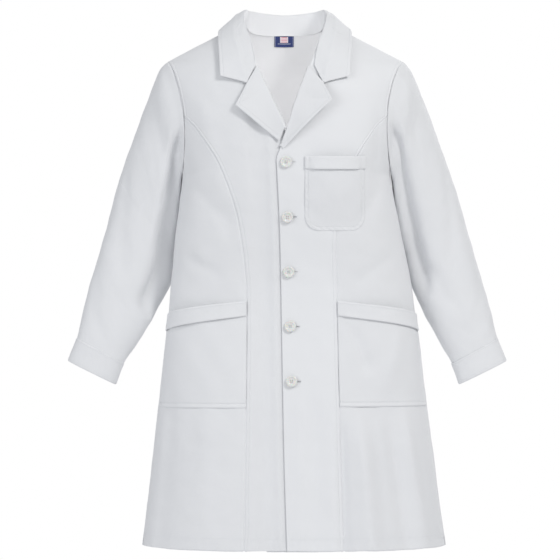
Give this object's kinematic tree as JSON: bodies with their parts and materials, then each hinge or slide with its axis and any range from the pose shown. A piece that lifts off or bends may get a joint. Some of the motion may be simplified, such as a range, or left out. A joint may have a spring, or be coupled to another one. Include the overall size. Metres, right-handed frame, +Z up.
{
  "type": "lab coat",
  "caption": "Knee-length white lab coat with notched lapels, a buttoned front, a chest pocket, hip pockets and long sleeves, open and upright as if worn.",
  "frame": {"origin": "the middle of the back neck seam, where the hook of a hanger comes out", "axes": "+X to the wearer's left, -Y out of the front, +Z up"},
  "size_m": [0.7736, 0.249, 0.9538],
  "materials": {
    "cloth": "white polyester-cotton twill",
    "button": "glossy",
    "thread": "sewing thread",
    "label": "woven, navy",
    "tab": "woven, white"
  },
  "bodies": {
    "coat": {"front_right": "cloth", "front_left": "cloth", "side_front_right": "cloth", "side_front_left": "cloth", "back_right": "cloth", "back_left": "cloth", "side_back_right": "cloth", "side_back_left": "cloth", "front_facing_right": "cloth", "front_facing_left": "cloth", "collar_stand": "cloth", "collar_leaf": "cloth", "chest_pocket": "cloth", "chest_pocket_band": "cloth", "hip_pocket_right": "cloth", "hip_pocket_band_right": "cloth", "hip_pocket_left": "cloth", "hip_pocket_band_left": "cloth", "neck_label": "label", "size_tab": "tab", "button_thread_1": "thread", "button_thread_2": "thread", "button_thread_3": "thread", "button_thread_4": "thread", "button_thread_5": "thread"},
    "upper_arm_right": {"upper_sleeve_right": "cloth"},
    "forearm_right": {"lower_sleeve_right": "cloth", "cuff_right": "cloth"},
    "lapel_turn_right": {"lapel_right": "cloth"},
    "upper_arm_left": {"upper_sleeve_left": "cloth"},
    "forearm_left": {"lower_sleeve_left": "cloth", "cuff_left": "cloth"},
    "lapel_turn_left": {"lapel_left": "cloth"},
    "button_body_1": {"button_1": "button"},
    "button_body_2": {"button_2": "button"},
    "button_body_3": {"button_3": "button"},
    "button_body_4": {"button_4": "button"},
    "button_body_5": {"button_5": "button"}
  },
  "joints": [
    {"name": "shoulder_raise_right", "type": "hinge", "parent": "coat", "child": "upper_arm_right", "pos_m": [-0.2073, -0.06, -0.041], "axis": [0, 1, 0], "range_deg": [0, 70]},
    {"name": "elbow_bend_right", "type": "hinge", "parent": "upper_arm_right", "child": "forearm_right", "pos_m": [-0.2579, -0.0532, -0.385], "axis": [-0.8386, 0, 0.5447], "range_deg": [0, 100]},
    {"name": "lapel_lift_right", "type": "hinge", "parent": "coat", "child": "lapel_turn_right", "pos_m": [-0.02561, -0.16673, -0.1108], "axis": [-0.4053, 0.1447, 0.9027], "range_deg": [0, 70]},
    {"name": "shoulder_raise_left", "type": "hinge", "parent": "coat", "child": "upper_arm_left", "pos_m": [0.2073, -0.06, -0.041], "axis": [0, -1, 0], "range_deg": [0, 70]},
    {"name": "elbow_bend_left", "type": "hinge", "parent": "upper_arm_left", "child": "forearm_left", "pos_m": [0.2716, -0.0532, -0.385], "axis": [-0.7978, 0, -0.603], "range_deg": [0, 100]},
    {"name": "lapel_lift_left", "type": "hinge", "parent": "coat", "child": "lapel_turn_left", "pos_m": [0.01739, -0.1682, -0.12611], "axis": [-0.329, -0.1151, -0.9373], "range_deg": [0, 70]},
    {"name": "button_twist_1", "type": "hinge", "parent": "coat", "child": "button_body_1", "pos_m": [0.0018, -0.17138, -0.22313], "axis": [0, -0.9983, -0.0582], "range_deg": [-25, 25]},
    {"name": "button_twist_2", "type": "hinge", "parent": "coat", "child": "button_body_2", "pos_m": [0.0042, -0.15826, -0.31888], "axis": [0, -0.985, -0.1724], "range_deg": [-25, 25]},
    {"name": "button_twist_3", "type": "hinge", "parent": "coat", "child": "button_body_3", "pos_m": [0.0066, -0.1436, -0.41423], "axis": [-0.0001, -0.9948, -0.1022], "range_deg": [-25, 25]},
    {"name": "button_twist_4", "type": "hinge", "parent": "coat", "child": "button_body_4", "pos_m": [0.009, -0.14682, -0.50926], "axis": [-0.0001, -0.994, 0.1089], "range_deg": [-25, 25]},
    {"name": "button_twist_5", "type": "hinge", "parent": "coat", "child": "button_body_5", "pos_m": [0.0114, -0.15765, -0.6048], "axis": [0, -0.9959, 0.0907], "range_deg": [-25, 25]}
  ]
}
